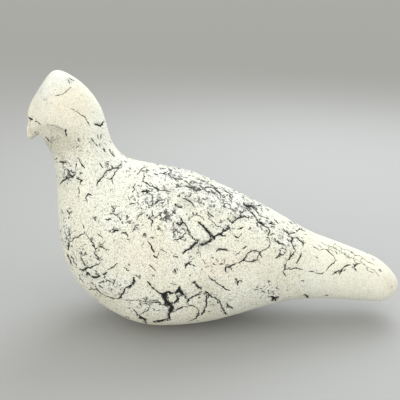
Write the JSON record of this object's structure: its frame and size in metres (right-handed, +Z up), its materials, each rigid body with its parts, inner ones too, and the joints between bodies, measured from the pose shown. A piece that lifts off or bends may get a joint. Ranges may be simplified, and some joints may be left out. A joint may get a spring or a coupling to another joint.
{
  "type": "dove statue",
  "caption": "Resting dove figure with a rounded breast, a small head with a short beak that points down and a long blunt tail, standing on a flat under its belly.",
  "frame": {"origin": "centre of the figure's length and width, on the surface that it stands on", "axes": "-X towards the beak, +X towards the tail, +Y across the body, +Z up"},
  "size_m": [0.1998, 0.073, 0.1381],
  "materials": {
    "dove": "matte sandy off-white coat with fine dark cracks"
  },
  "bodies": {
    "root": {"dove": "dove"}
  },
  "joints": []
}
